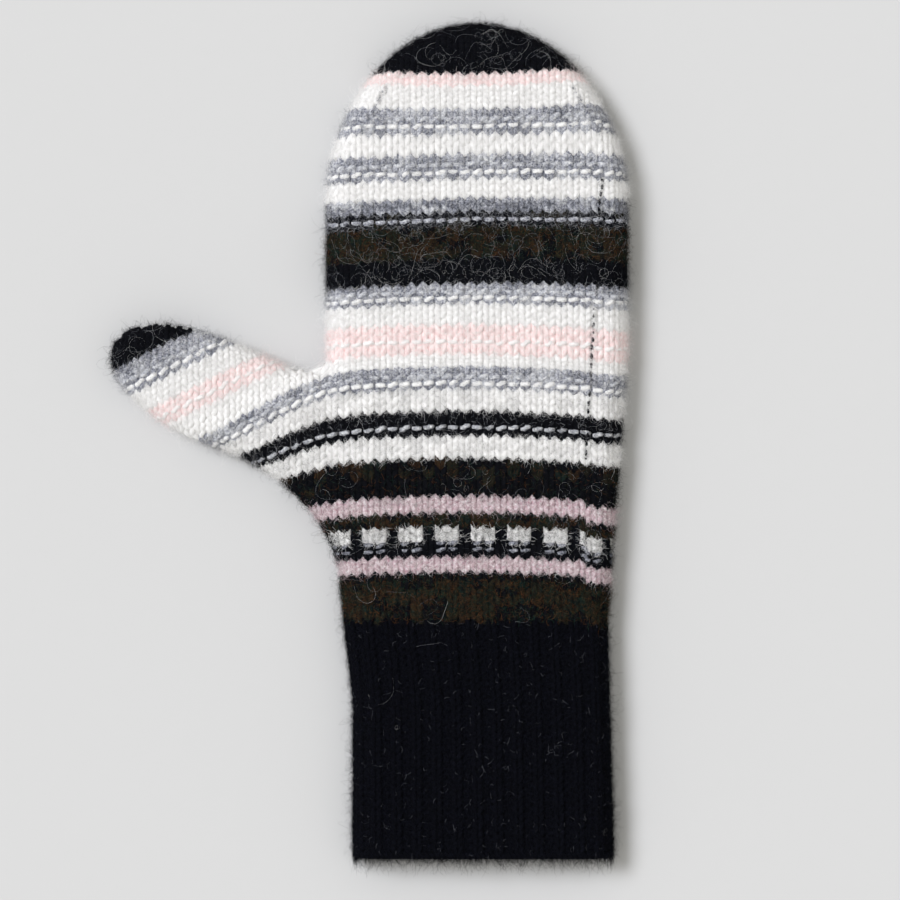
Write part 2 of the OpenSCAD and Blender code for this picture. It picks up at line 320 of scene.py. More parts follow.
def thumb_tops():
    """The level where each of the thumb's stripes ends. The grey runs GREY_CLIMB further than its
    CAD node does, and the tip runs on over the fold."""
    tops = [thumb_level(*node_points(node).T[:2]).max() for node, _ in THUMB_COURSES]
    return tops[:-2] + [tops[-2] + GREY_CLIMB, tops[-1] + FOLD_SPARE]


THUMB_SLOPE = 0.5
GREY_CLIMB = 1.8
hand_tops = [middle_span(node)[1] for node, _ in COURSES[:-1]] + [TIP_Y + FOLD_SPARE]
HEIGHTS, PLACES = course_table(COURSES, MOUTH_Y, hand_tops)
CROTCH_COURSE = PLACES["gusset_grey_stripe"][1]
CROTCH_LEVEL = thumb_level(CROTCH[0], CROTCH[1]) - 1.2
THUMB_LEVELS, thumb_places = course_table(THUMB_COURSES, CROTCH_LEVEL, thumb_tops())
for thumb_node, (lowest, highest) in thumb_places.items():
    PLACES[thumb_node] = (lowest + CROTCH_COURSE, highest + CROTCH_COURSE)
BEND_X = -52.0
BEND_SOFTNESS = 4.0
BEND_SLOPE = 0.55
JOG_DROP = 1.9
CROTCH_LEAN = 0.64
FINGER_TILT = 0.035


def ease(t):
    t = np.clip(t, 0, 1)
    return t * t * (3 - 2 * t)


def jog_x(y):
    """Where the start of the rounds stands, a line that leans a little over the hand's right side."""
    return 36.8 + 5.6 * np.clip((y - 57) / 100, -0.1, 1)


def palm_line(x, y):
    """A course of the palm or hand: level height y, arched a little, and bent down into the gusset.
    Above the crotch its left half droops."""
    level = np.clip((y - GUSSET_START[1]) / (CROTCH_Y - GUSSET_START[1]), 0, 1)
    above = np.clip((y - CROTCH_Y) / (DOME_Y - CROTCH_Y), 0, 1)
    arch = 2.0 * ease((y - WRIST_Y) / 20) * (1 - above)
    dip = 4.0 * ease((y - DOME_Y - 10) / (TIP_Y - DOME_Y - 25))
    reach = np.minimum(np.abs(x + 5 * (1 - above)), 50) / 45
    slope = BEND_SLOPE * level ** 0.75 * (1 - ease((y - CROTCH_Y) / 8))
    bend = slope * BEND_SOFTNESS * np.log1p(np.exp((BEND_X - x) / BEND_SOFTNESS))
    tilt = FINGER_TILT * np.minimum(x, 0) * ease((y - CROTCH_Y - 10) / 30)
    return y - (arch - dip) * reach ** 2 - bend + tilt


def thumb_line(x, course):
    """A course of the thumb: it leaves the palm's last course and straightens out."""
    level = np.interp(course - CROTCH_COURSE, np.arange(len(THUMB_LEVELS)), THUMB_LEVELS)
    base = palm_line(x, np.full_like(level, CROTCH_Y))
    straight = ease((level - CROTCH_LEVEL) / 10)
    return base + level - CROTCH_LEVEL + straight * (THUMB_SLOPE * x + CROTCH_LEVEL - base)


def hand_line(x, course, side):
    """A course of the cuff, the palm or the hand, with the step where the rounds start."""
    y = np.interp(course, np.arange(len(HEIGHTS)), HEIGHTS)
    drop = JOG_DROP * ease((y - MOUTH_Y - 4) / 20) * (1 - 0.8 * ease((y - GUSSET_START[1] - 25) / 12))
    upper = ease((x - jog_x(y)) / 1.2 + 0.5)
    lower = np.clip((x + HAND_HALF) / (2 * HAND_HALF), 0, 1)
    return palm_line(x, y) - drop * np.where(side > 0, upper, lower)


def course_line(x, course, side, thumb=False):
    """The height on the flat layer of a course, at each x. Courses may be fractions.
    In the thumb and the gusset the courses meet the edge at a slant, so there the fold is allowed for."""
    if thumb:
        y = thumb_line(x, course)
    else:
        y = hand_line(x, course, side)
    share = ease((BEND_X + 8 - x) / 10)
    if not share.any():
        return y
    for _ in range(6):
        inside, out_x, out_y = edge_field(x, y)
        push = share * fold_push(inside, np.maximum(0, fold_turn(inside))).clip(0, FOLD_SPARE)
        seen_x = x - out_x * push
        line = thumb_line(seen_x, course) if thumb else hand_line(seen_x, course, side)
        y = line + out_y * push
    return y


def reach_of(course, side, thumb=False):
    """The two ends of a course, at the fold, as (right x, left x); None where there is no knitting.
    Above the crotch the hand's courses end where the thumb's begin, midway between the two edges."""
    xs = np.arange(LOW[0] - 12, HIGH[0] + 12, 0.2)
    ys = course_line(xs, np.full_like(xs, course), side, thumb)
    inside = edge_field(xs, ys)[0] > -FOLD_SPARE
    past_crotch = CROTCH[0] - CROTCH_LEAN * np.maximum(0, ys - CROTCH[1])
    if thumb:
        inside &= xs < past_crotch
    elif course >= CROTCH_COURSE:
        inside &= xs > past_crotch
    if not inside.any():
        return None
    runs = np.split(np.flatnonzero(inside), np.flatnonzero(np.diff(np.flatnonzero(inside)) > 1) + 1)
    best = max(runs, key=len)
    if len(best) < 12:
        return None
    return xs[best[-1]] + 0.1, xs[best[0]] - 0.1


# ---------------------------------------------------------------- wales: the columns of stitches

HALF_WALES = 27
WALE = 2 * (HAND_HALF + FOLD_SPARE) / HALF_WALES
RIB_WALES = 28


def wales(right, left, ribbed):
    """The stitch boundaries of a course on one layer, from its right end to its left end."""
    if ribbed:
        return np.linspace(right, left, RIB_WALES + 1)
    lines = HAND_HALF + FOLD_SPARE - WALE * np.arange(60)
    kept = lines[(lines < right - 0.45 * WALE) & (lines > left + 0.45 * WALE)]
    return np.concatenate([[right], kept, [left]])


def stitches(course, thumb=False, ribbed=False):
    """Every stitch of one round: its two x boundaries, its side and its wale number."""
    found = []
    for side in (1, -1):
        reach = reach_of(course + 0.5, side, thumb)
        if reach is None:
            return None
        lines = wales(*reach, ribbed)
        if side < 0:
            lines = lines[::-1]
        number = np.round((HAND_HALF + FOLD_SPARE - (lines[:-1] + lines[1:]) / 2) / WALE - 0.5).astype(int)
        if ribbed:
            number = np.arange(len(lines) - 1)
        found.append(np.stack([lines[:-1], lines[1:], np.full(len(number), side), number], 1))
    return np.concatenate(found)


# ---------------------------------------------------------------- yarn

class Pile:
    """Faces of one piece, gathered tube by tube before the mesh is made."""

    def __init__(self):
        self.points, self.faces, self.slots, self.count = [], [], [], 0

    def add(self, points, faces, slot):
        self.points.append(points)
        self.faces.append(faces + self.count)
        self.slots.append(np.full(len(faces), slot) if np.isscalar(slot) else slot)
        self.count += len(points)

    def mesh(self, name):
        points = np.concatenate(self.points) * MM
        faces = np.concatenate(self.faces)
        mesh = bpy.data.meshes.new(name)
        mesh.vertices.add(len(points))
        mesh.vertices.foreach_set("co", points.astype(np.float32).ravel())
        mesh.loops.add(faces.size)
        mesh.loops.foreach_set("vertex_index", faces.astype(np.int32).ravel())
        mesh.polygons.add(len(faces))
        width = faces.shape[1]
        mesh.polygons.foreach_set("loop_start", np.arange(0, faces.size, width, dtype=np.int32))
        mesh.polygons.foreach_set("loop_total", np.full(len(faces), width, dtype=np.int32))
        mesh.polygons.foreach_set("material_index", np.concatenate(self.slots).astype(np.int32))
        mesh.polygons.foreach_set("use_smooth", np.ones(len(faces), dtype=bool))
        mesh.update(calc_edges=True)
        return mesh


def tube(pile, centre, normal, radius, sides, closed, slot):
    """A yarn of the given radius along centre; normal keeps its sides from twisting."""
    n = len(centre)
    if closed:
        tangent = np.roll(centre, -1, 0) - np.roll(centre, 1, 0)
    else:
        tangent = np.gradient(centre, axis=0)
    tangent /= np.maximum(1e-9, np.linalg.norm(tangent, axis=1))[:, None]
    across = np.cross(tangent, normal)
    across /= np.maximum(1e-9, np.linalg.norm(across, axis=1))[:, None]
    upright = np.cross(across, tangent)
    around = 2 * math.pi * np.arange(sides) / sides
    radius = np.broadcast_to(radius, n)
    rings = centre[:, None] + radius[:, None, None] * (
        np.cos(around)[None, :, None] * across[:, None] + np.sin(around)[None, :, None] * upright[:, None])
    points = rings.reshape(-1, 3)
    i = np.arange(n if closed else n - 1)[:, None]
    k = np.arange(sides)[None, :]
    after = (i + 1) % n
    faces = np.stack([i * sides + k, i * sides + (k + 1) % sides,
                      after * sides + (k + 1) % sides, after * sides + k], -1).reshape(-1, 4)
    if not closed:
        points = np.concatenate([points, centre[:1], centre[-1:]])
        ring = np.arange(sides)
        near = np.stack([(ring + 1) % sides, ring, np.full(sides, n * sides), np.full(sides, n * sides)], 1)
        far = np.stack([ring, (ring + 1) % sides, np.full(sides, 1), np.full(sides, 1)], 1)
        far[:, :2] += (n - 1) * sides
        far[:, 2:] = n * sides + 1
        faces = np.concatenate([faces, near, far])
    pile.add(points, faces, slot)


YARN_RADIUS = 1.12
LOOP_HEIGHT = 1.6
LOOP_LEAN = 0.215
LOOP_DEPTH = 0.55
LOOP_START = 0.15
YARN_SIDES = 6
LOOP_STEPS = 14
FACE_DEPTH = -1.7
RIB_RELIEF = 0.75


def loop_centres(row, course, thumb, ribbed):
    """Centre line of the loops of one round, as flat places and depths, 14 to a stitch."""
    u = np.arange(LOOP_STEPS) / LOOP_STEPS
    right, left, side, number = (row[:, i:i + 1] for i in range(4))
    count = len(row)
    uneven = rng.normal(0, 1, (count, 4))
    lean = LOOP_LEAN * (1 + 0.12 * uneven[:, :1])
    x = right + (left - right) * (u + lean * np.sin(4 * math.pi * u))
    rise = LOOP_HEIGHT * (1 + 0.06 * uneven[:, 1:2]) * (1 - np.cos(2 * math.pi * u)) / 2
    depth = FACE_DEPTH - LOOP_DEPTH * np.cos(4 * math.pi * u) + 0.12 * uneven[:, 2:3] * np.sin(math.pi * u)
    if ribbed:
        is_purl = number % 2 == 1
        flipped = FACE_DEPTH + LOOP_DEPTH * np.cos(4 * math.pi * u)
        groove = np.sin(math.pi * u) ** 0.5
        depth = np.where(is_purl, flipped - RIB_RELIEF * groove, depth + 0.5 * RIB_RELIEF * groove)
    sides = np.broadcast_to(side, x.shape)
    y = course_line(x.ravel(), (course + rise - LOOP_START).ravel(), sides.ravel(), thumb)
    return x.ravel(), y, sides.ravel(), depth.ravel()


def knit_round(pile, row, course, thumb=False, ribbed=False, slots=0):
    """One closed round of knitting; slots may give every stitch its own yarn."""
    x, y, side, depth = loop_centres(row, course, thumb, ribbed)
    centre, normal = surface(x, y, side, depth)
    radius = YARN_RADIUS * (0.86 if ribbed else 1) * (1 + 0.14 * soft_noise(x * 3, y * 3, 1.0, int(course)))
    if not np.isscalar(slots):
        slots = np.repeat(slots, LOOP_STEPS * YARN_SIDES)
    tube(pile, centre, normal, radius, YARN_SIDES, True, slots)


def knit_run(pile, row, course, slot):
    """Part of a round in one colour: both ends dive behind the face."""
    x, y, side, depth = loop_centres(row, course, False, False)
    ends = np.minimum(np.arange(len(x)), len(x) - 1 - np.arange(len(x)))
    depth = depth - 1.0 * np.clip(1 - ends / 3, 0, 1)
    centre, normal = surface(x, y, side, depth)
    tube(pile, centre, normal, YARN_RADIUS * 1.04, YARN_SIDES, False, slot)


DASH_DEPTH = -0.85


def dash_round(pile, course, thumb, slot, radius, only=None, shift=0.0):
    """A yarn that shows one short dash on every stitch of a round, as a purl row does."""
    row = stitches(course - 0.5, thumb)
    if row is None:
        return
    steps = 12
    u = np.arange(steps) / steps
    dive = np.maximum(0, np.cos(2 * math.pi * u)) ** 1.6
    right, left, side, number = (row[:, i:i + 1] for i in range(4))
    uneven = rng.normal(0, 1, (len(row), 3)).clip(-1.2, 1.2)
    x = right + (left - right) * (u + shift)
    depth = DASH_DEPTH + 0.12 * uneven[:, :1] * (1 - dive) - 1.6 * dive
    height = course + 0.08 * (1 + uneven[:, 1:2]) * np.sin(2 * math.pi * u) + 0.06 * uneven[:, 2:]
    sides = np.broadcast_to(side, x.shape)
    y = course_line(x.ravel(), height.ravel(), sides.ravel(), thumb)
    centre, normal = surface(x.ravel(), y, sides.ravel(), depth.ravel())
    thick = (radius * (1.0 - 0.5 * dive) * np.ones_like(x)).ravel()
    if only is None:
        tube(pile, centre, normal, thick, YARN_SIDES, True, slot)
        return
    shown = np.isin(number[:, 0].astype(int) % 3, only)
    for first, last in spans(shown):
        part = slice(first * steps, last * steps)
        tube(pile, centre[part], normal[part], thick[part], YARN_SIDES, False, slot)


def spans(flags):
    """The (first, past the last) pairs of the stretches where flags holds."""
    edges = np.flatnonzero(np.diff(np.concatenate([[0], flags.astype(int), [0]])))
    return list(zip(edges[::2], edges[1::2]))


# ---------------------------------------------------------------- the felted ground behind the loops

GROUND_DEPTHS = (-1.3, -2.35)
GROUND_STEPS = 56


def ground(pile, first, last, thumb, slot):
    """A thin closed tube of matted fibre that fills the gaps between a stripe's loops."""
    rings = []
    courses = np.linspace(first, last, 2 * int(last - first) + 1)
    for depth, way_round in zip(GROUND_DEPTHS, (courses, courses[::-1])):
        for course in way_round:
            ring = []
            for side in (1, -1):
                reach = reach_of(course, side, thumb)
                if reach is None:
                    break
                x = np.linspace(reach[0], reach[1], GROUND_STEPS + 1)[:-1]
                x = x if side > 0 else np.linspace(reach[1], reach[0], GROUND_STEPS + 1)[:-1]
                y = course_line(x, np.full_like(x, course), side, thumb)
                ring.append(surface(x, y, np.full_like(x, side), depth)[0])
            if len(ring) == 2:
                rings.append(np.concatenate(ring))
    count, width = len(rings), 2 * GROUND_STEPS
    i = np.arange(count)[:, None]
    k = np.arange(width)[None, :]
    after = (i + 1) % count
    faces = np.stack([i * width + k, after * width + k,
                      after * width + (k + 1) % width, i * width + (k + 1) % width], -1).reshape(-1, 4)
    pile.add(np.concatenate(rings), faces, slot)


# ---------------------------------------------------------------- hairs

def hairs(pile, spots, length, lift, curl, wave, steps, radius, slot, way=None, root=-0.9):
    """Loose fibres that start at flat places and wander over the face, thinning to their ends.
    curl is how far a fibre turns in all, wave how much it sways, way the direction it starts in."""
    x, y, side = spots
    count = len(x)
    s = np.linspace(0, 1, steps + 1)
    way = rng.uniform(0, 2 * math.pi, (count, 1)) if way is None else way[:, None]
    bend = curl * rng.choice([-1, 1], (count, 1)) * rng.gamma(4.0, 0.25, (count, 1))
    beats = s * rng.uniform(0.5, 1.6, (count, 1)) + rng.uniform(0, 1, (count, 1))
    wobble = wave * np.sin(2 * math.pi * beats)
    heading = way + bend * s + wobble
    step = length[:, None] / steps
    along_x = np.cumsum(np.cos(heading) * step, 1) - np.cos(heading[:, :1]) * step
    along_y = np.cumsum(np.sin(heading) * step, 1) - np.sin(heading[:, :1]) * step
    arc = np.sin(math.pi * s * rng.uniform(0.45, 1.0, (count, 1)))
    depth = root + (lift[:, None] - root) * arc
    fx, fy = x[:, None] + along_x, y[:, None] + along_y
    sides = np.broadcast_to(side[:, None], fx.shape)
    centre, normal = surface(fx, fy, sides, depth)
    centre[..., 2] = np.maximum(centre[..., 2], LOW[2] + 0.06)
    tangent = np.gradient(centre, axis=1)
    tangent /= np.maximum(1e-9, np.linalg.norm(tangent, axis=2))[..., None]
    across = np.cross(tangent, normal)
    across /= np.maximum(1e-9, np.linalg.norm(across, axis=2))[..., None]
    upright = np.cross(across, tangent)
    around = 2 * math.pi * np.arange(3) / 3
    thick = (radius[:, None] * (1 - 0.7 * s))[:, :, None, None]
    rings = centre[:, :, None] + thick * (
        np.cos(around)[:, None] * across[:, :, None] + np.sin(around)[:, None] * upright[:, :, None])
    rings[..., 2] = np.maximum(rings[..., 2], LOW[2] + 0.01)
    base = (np.arange(count) * (steps + 1) * 3)[:, None, None]
    i = np.arange(steps)[None, :, None] * 3
    k = np.arange(3)[None, None, :]
    faces = np.stack([base + i + k, base + i + (k + 1) % 3,
                      base + i + 3 + (k + 1) % 3, base + i + 3 + k], -1).reshape(-1, 4)
    slots = np.repeat(slot, steps * 3)
    pile.add(rings.reshape(-1, 3), faces, slots)


def scatter(first, last, thumb, per_area, upper_share=0.72):
    """Random places on a stripe: flat x, y and side."""
    found = []
    for side, share in ((1, upper_share), (-1, 1 - upper_share)):
        for course in range(first, last):
            reach = reach_of(course + 0.5, side, thumb)
            if reach is None:
                continue
            height = HEIGHTS[course + 1] - HEIGHTS[course]
            count = rng.poisson(max(0, per_area * 2 * share * height * (reach[0] - reach[1])))
            x = rng.uniform(reach[1], reach[0], count)
            y = course_line(x, course + rng.uniform(0, 1, count), side, thumb)
            found.append(np.stack([x, y, np.full(count, side)]))
    return np.concatenate(found, 1) if found else np.zeros((3, 0))


# ---------------------------------------------------------------- materials

def socket(shader, **values):
    for name, value in values.items():
        shader.inputs[name.replace("_", " ")].default_value = value


def wool(name, stops, patch, shine=0.15, sheen=0.0):
    """Felted yarn: stops are (position, colour) pairs mixed in patches of about the given size in mm."""
    mat = bpy.data.materials.new(name)
    mat.use_nodes = True
    nodes, links = mat.node_tree.nodes, mat.node_tree.links
    shader = nodes["Principled BSDF"]
    socket(shader, Roughness=0.9, Sheen_Weight=sheen, Sheen_Roughness=0.5, Specular_IOR_Level=shine)
    where = nodes.new("ShaderNodeTexCoord")
    mottle = nodes.new("ShaderNodeTexNoise")
    socket(mottle, Scale=1.0 / (patch * MM), Detail=5.0, Roughness=0.68)
    links.new(where.outputs["Object"], mottle.inputs["Vector"])
    ramp = nodes.new("ShaderNodeValToRGB")
    ramp.color_ramp.elements.remove(ramp.color_ramp.elements[1])
    for i, (at, colour) in enumerate(stops):
        element = ramp.color_ramp.elements[0] if i == 0 else ramp.color_ramp.elements.new(at)
        element.position = at
        element.color = (*colour, 1)
    links.new(mottle.outputs["Fac"], ramp.inputs["Fac"])
    links.new(ramp.outputs["Color"], shader.inputs["Base Color"])
    fibres = nodes.new("ShaderNodeTexNoise")
    socket(fibres, Scale=2600.0, Detail=3.0)
    links.new(where.outputs["Object"], fibres.inputs["Vector"])
    height = nodes.new("ShaderNodeBump")
    socket(height, Strength=0.6, Distance=0.3 * MM)
    links.new(fibres.outputs["Fac"], height.inputs["Height"])
    links.new(height.outputs["Normal"], shader.inputs["Normal"])
    return mat


def hair_wool(name, colour, shine=0.2):
    """One loose fibre's colour."""
    mat = bpy.data.materials.new(name)
    mat.use_nodes = True
    shader = mat.node_tree.nodes["Principled BSDF"]
    socket(shader, Base_Color=(*colour, 1), Roughness=0.75, Specular_IOR_Level=shine)
    return mat


def grey(value, warm=0.0):
    return (value * (1 + warm), value, value * (1 - warm))


INK = (0.006, 0.0065, 0.009)
BLACK = (0.0025, 0.003, 0.0045)
OLIVE = (0.032, 0.029, 0.013)
BROWN = (0.038, 0.025, 0.010)
RUST = (0.080, 0.035, 0.012)
MOSS = (0.011, 0.029, 0.022)

YARNS = {
    "white": wool("white_wool", [(0.35, grey(0.76, 0.01)), (0.55, grey(0.86, 0.01)),
                                 (0.7, grey(0.90, 0.01))], 1.4),
    "cream": wool("cream_wool", [(0.35, grey(0.56, 0.01)), (0.5, grey(0.70, 0.01)),
                                 (0.7, grey(0.80, 0.01))], 1.4),
    "pink": wool("pale_pink_wool", [(0.35, (0.86, 0.65, 0.64)), (0.5, (0.90, 0.76, 0.75)),
                                    (0.65, (0.92, 0.86, 0.845))], 1.3),
    "dusty": wool("dusty_pink_wool", [(0.35, (0.37, 0.245, 0.27)), (0.5, (0.54, 0.43, 0.455)),
                                      (0.65, (0.77, 0.72, 0.735))], 0.8),
    "rose": wool("rose_wool", [(0.35, (0.43, 0.25, 0.29)), (0.5, (0.56, 0.44, 0.475)),
                               (0.65, (0.77, 0.72, 0.74))], 0.8),
    "black": wool("black_wool", [(0.35, BLACK), (0.6, INK), (0.8, (0.014, 0.014, 0.017))], 1.2,
                  shine=0.05),
    "navy": wool("navy_rib_wool", [(0.35, (0.0015, 0.0017, 0.003)), (0.6, (0.003, 0.0034, 0.006)),
                                   (0.8, (0.008, 0.009, 0.014))], 1.2, shine=0.04),
    "slate": wool("slate_wool", [(0.38, (0.07, 0.075, 0.10)), (0.48, (0.20, 0.21, 0.25)),
                                 (0.58, (0.38, 0.39, 0.44)), (0.68, (0.62, 0.63, 0.67))], 0.7),
    "grey": wool("grey_heather_wool", [(0.38, (0.12, 0.125, 0.16)), (0.47, (0.32, 0.33, 0.38)),
                                       (0.56, (0.54, 0.55, 0.60)), (0.66, grey(0.80))], 0.7),
    "silver": wool("silver_wool", [(0.36, (0.30, 0.31, 0.35)), (0.5, (0.52, 0.53, 0.57)),
                                   (0.62, grey(0.76))], 0.7),
    "olive": wool("olive_tweed_wool", [(0.42, INK), (0.46, OLIVE), (0.50, INK), (0.54, BROWN), (0.58, INK),
                                       (0.63, MOSS)], 0.75, shine=0.06),
    "brown": wool("brown_tweed_wool", [(0.42, INK), (0.46, BROWN), (0.50, INK), (0.55, RUST), (0.59, INK),
                                       (0.64, OLIVE)], 0.75, shine=0.06),
    "moss": wool("moss_tweed_wool", [(0.42, INK), (0.47, MOSS), (0.51, INK), (0.56, OLIVE), (0.60, INK),
                                     (0.64, RUST)], 0.75, shine=0.06),
}
HAIRS = {
    "white": hair_wool("white_hair", grey(0.93, 0.01)),
    "pink": hair_wool("pink_hair", (0.95, 0.82, 0.81)),
    "dusty": hair_wool("dusty_hair", (0.72, 0.57, 0.60)),
    "black": hair_wool("black_hair", (0.004, 0.0045, 0.0065), 0.06),
    "navy": hair_wool("navy_hair", (0.006, 0.007, 0.014), 0.08),
    "slate": hair_wool("slate_hair", (0.16, 0.165, 0.19)),
    "silver": hair_wool("silver_hair", (0.60, 0.61, 0.65)),
    "olive": hair_wool("olive_hair", (0.05, 0.045, 0.018), 0.1),
    "rust": hair_wool("rust_hair", (0.17, 0.065, 0.02), 0.1),
    "moss": hair_wool("moss_hair", (0.018, 0.06, 0.042), 0.1),
}


# ---------------------------------------------------------------- what each stripe is made of

# yarns: the shares of stitches in each yarn; top_yarns: the same for the upper half, where it differs
# fluff: the shares of short hairs in each colour
# dashes: (courses above the stripe's start, yarn, radius, shift along the round in stitches)
# stray: long pale hairs to the square centimetre; fuzz: how dense the short hairs are, 1 being usual
Look = namedtuple("Look", "yarns fluff dashes stray top_yarns fuzz", defaults=((), 0.8, None, 1.0))

SNOW = Look({"white": 1}, {"white": 1}, fuzz=1.1)
CREAM = Look({"white": 0.6, "cream": 0.4}, {"white": 0.94, "slate": 0.04, "black": 0.02}, fuzz=1.1)
PINK = Look({"pink": 1}, {"pink": 0.6, "white": 0.4}, fuzz=1.1)
ROSE = Look({"dusty": 0.6, "rose": 0.4}, {"dusty": 0.64, "white": 0.2, "slate": 0.06, "black": 0.1},
            fuzz=0.8)
HEATHER = {"slate": 0.4, "grey": 0.4, "silver": 0.2}
HEATHER_FLUFF = {"silver": 0.32, "slate": 0.42, "white": 0.26}
HEATHER_DASHES = [(1.0, "white", 0.98, 0.0), (1.95, "silver", 0.92, 0.5)]
GREY = Look(HEATHER, HEATHER_FLUFF, HEATHER_DASHES, 2.5)
TWEED_YARNS = {"black": 0.25, "olive": 0.35, "brown": 0.2, "moss": 0.2}
TWEED_FLUFF = {"black": 0.66, "olive": 0.15, "rust": 0.09, "moss": 0.1}
TWEED = Look(TWEED_YARNS, TWEED_FLUFF, (), 0.7, fuzz=1.3)
COAL = Look({"black": 1}, {"black": 0.9, "navy": 0.08, "slate": 0.02}, (), 3.0)

LOOKS = {
    "rib_cuff": Look({"navy": 1}, {"black": 0.69, "navy": 0.3, "slate": 0.01}, (), 0.08),
    "wrist_tweed_stripe": TWEED,
    "lower_pink_stripe": ROSE,
    "block_stripe": COAL,
    "olive_stripe": TWEED,
    "upper_pink_stripe": ROSE,
    "black_tweed_stripe": Look({"black": 0.94, "olive": 0.06}, {"black": 0.88, "olive": 0.05, "rust": 0.03,
                                                                 "moss": 0.04}, (), 1.6,
                               {"black": 0.55, "olive": 0.2, "brown": 0.17, "moss": 0.08}),
    "palm_white_stripe": CREAM,
    "black_dash_stripe": Look({"black": 1}, {"black": 0.9, "slate": 0.06, "silver": 0.04},
                              [(1.15, "silver", 0.95, 0.0)], 4.0),
    "gusset_white_stripe": CREAM,
    "gusset_grey_stripe": GREY._replace(dashes=[(0.85, "white", 1.0, 0.0), (1.8, "silver", 0.85, 0.5)]),
    "hand_white_stripe": SNOW,
    "hand_pink_stripe": PINK._replace(dashes=[(1.4, "white", 0.9, 0.0)]),
    "knuckle_white_stripe": SNOW,
    "knuckle_grey_stripe": GREY._replace(stray=4.0),
    "knuckle_black_stripe": COAL._replace(stray=7.0),
    "knuckle_tweed_stripe": TWEED._replace(stray=7.0),
    "dark_dash_stripe": Look({"black": 0.8, "olive": 0.2}, {"black": 0.42, "slate": 0.36, "silver": 0.22},
                             [(1.05, "grey", 0.95, 0.0)], 5.0, HEATHER),
    "finger_white_stripe": SNOW,
    "finger_grey_stripe": GREY,
    "fingertip_white_stripe": SNOW,
    "fingertip_grey_stripe": GREY,
    "dome_white_stripe": SNOW,
    "dome_pink_stripe": PINK,
    "black_fingertip": COAL._replace(stray=4.5),
    "thumb_white_stripe": SNOW,
    "thumb_pink_stripe": PINK._replace(dashes=[(1.4, "white", 0.9, 0.0)]),
    "thumb_upper_white_stripe": SNOW,
    "thumb_grey_stripe": GREY._replace(stray=5.0),
    "black_thumb_tip": COAL._replace(stray=7.0),
}
BLOCK_WALES = (0, 1)
TOOTH_WALES = (0, 3, 4, 5, 6)
TOOTH_COURSES = 2
FLECKS = rng.random((43, 31, 2))


def body_of(node):
    return next(body for body, nodes in frame["record"]["behaviour"]["bodies"].items() if node in nodes)


def bend_zones():
    """For every joint, the stripes that bend with it and the line across which they do."""
    found = {}
    knuckles = ["knuckle_black_stripe", "knuckle_tweed_stripe", "dark_dash_stripe"]
    last_knuckles = ["finger_white_stripe", "finger_grey_stripe", "fingertip_white_stripe"]
    reaches = {
        "wrist_bend": (["wrist_tweed_stripe"], 7.5, (0, -1, 0)),
        "knuckle_bend": (knuckles, 13.0, (0, 1, 0)),
        "fingertip_bend": (last_knuckles, 10.0, (0, 1, 0)),
        "thumb_bend": (["thumb_white_stripe"], 6.5, None),
        "thumb_tip_bend": (["thumb_upper_white_stripe"], 5.0, None),
    }
    for joint in frame["joints"]:
        nodes, reach, way = reaches[joint["name"]]
        axis = Vector(joint["axis"]).normalized()
        way = Vector(way) if way else Vector((-axis.y, axis.x, 0))
        centre = Vector(joint["pos_m"])
        for node in nodes:
            found[node] = (joint, tuple(centre - way * reach * MM), tuple(centre + way * reach * MM))
    return found


BENDS = bend_zones()


def is_thumb(node):
    return node.startswith("thumb") or node == "black_thumb_tip"


def add_piece(name, pile, materials, node):
    """Makes a piece's mesh and puts it on its body; a piece whose stripe bends over a joint is left unparented,
    with its placement baked into its mesh.
    """
    mesh = pile.mesh(name)
    for material in materials:
        mesh.materials.append(material)
    piece = bpy.data.objects.new(name, mesh)
    bpy.context.collection.objects.link(piece)
    if node in BENDS:
        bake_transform(piece)
    else:
        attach(piece, body_of(node))
    return piece


def stitch_yarns(node, row, course, names):
    """The material slot of every stitch of a round, drawn by each yarn's share of the stripe."""
    look = LOOKS[node]
    first, last = PLACES[node]
    shares = look.yarns
    if look.top_yarns and course >= (first + last) / 2:
        shares = look.top_yarns
    number, side = row[:, 3].astype(int), row[:, 2]
    chance = FLECKS[number % 43, course % 31, (side > 0).astype(int)]
    order = np.array([names.index(name) for name in shares])
    slots = order[np.searchsorted(np.cumsum(list(shares.values())), chance).clip(0, len(order) - 1)]
    if node == "wrist_tweed_stripe":
        teeth = (course < first + TOOTH_COURSES) & ~np.isin(number % 9, TOOTH_WALES)
        slots = np.where(teeth | (course == last - 1), names.index("black"), slots)
    return slots


def knit_stripe(node):
    """The loops, dashes and ground of one stripe, in pieces of at most 15 courses."""
    look = LOOKS[node]
    first, last = PLACES[node]
    thumb, ribbed = is_thumb(node), node == "rib_cuff"
    names = list(dict.fromkeys([*look.yarns, *(look.top_yarns or ()), *(dash[1] for dash in look.dashes)]))
    for start in range(first, last, 15):
        end = min(start + 15, last)
        pile = Pile()
        for course in range(start, end):
            row = stitches(course, thumb, ribbed)
            if row is None:
                continue
            if node == "block_stripe" and course >= last - 2:
                shown = ~np.isin(row[:, 3].astype(int) % 3, BLOCK_WALES)
                for here, there in spans(shown):
                    knit_run(pile, row[here:there], course, 0)
            else:
                knit_round(pile, row, course, thumb, ribbed, stitch_yarns(node, row, course, names))
        if start == first:
            for rise, yarn, radius, shift in look.dashes:
                dash_round(pile, first + rise, thumb, names.index(yarn), radius, shift=shift)
        low, high = start - 0.25, end + 0.25
        if first == CROTCH_COURSE:
            low = CROTCH_COURSE
        if last == CROTCH_COURSE:
            high = CROTCH_COURSE - 0.001
        ground(pile, low, high, thumb, 0)
        piece = add_piece(f"{node}_knit_{start - first}", pile, [YARNS[name] for name in names], node)
        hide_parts(node)


HAIRS_IN_A_PIECE = 15000


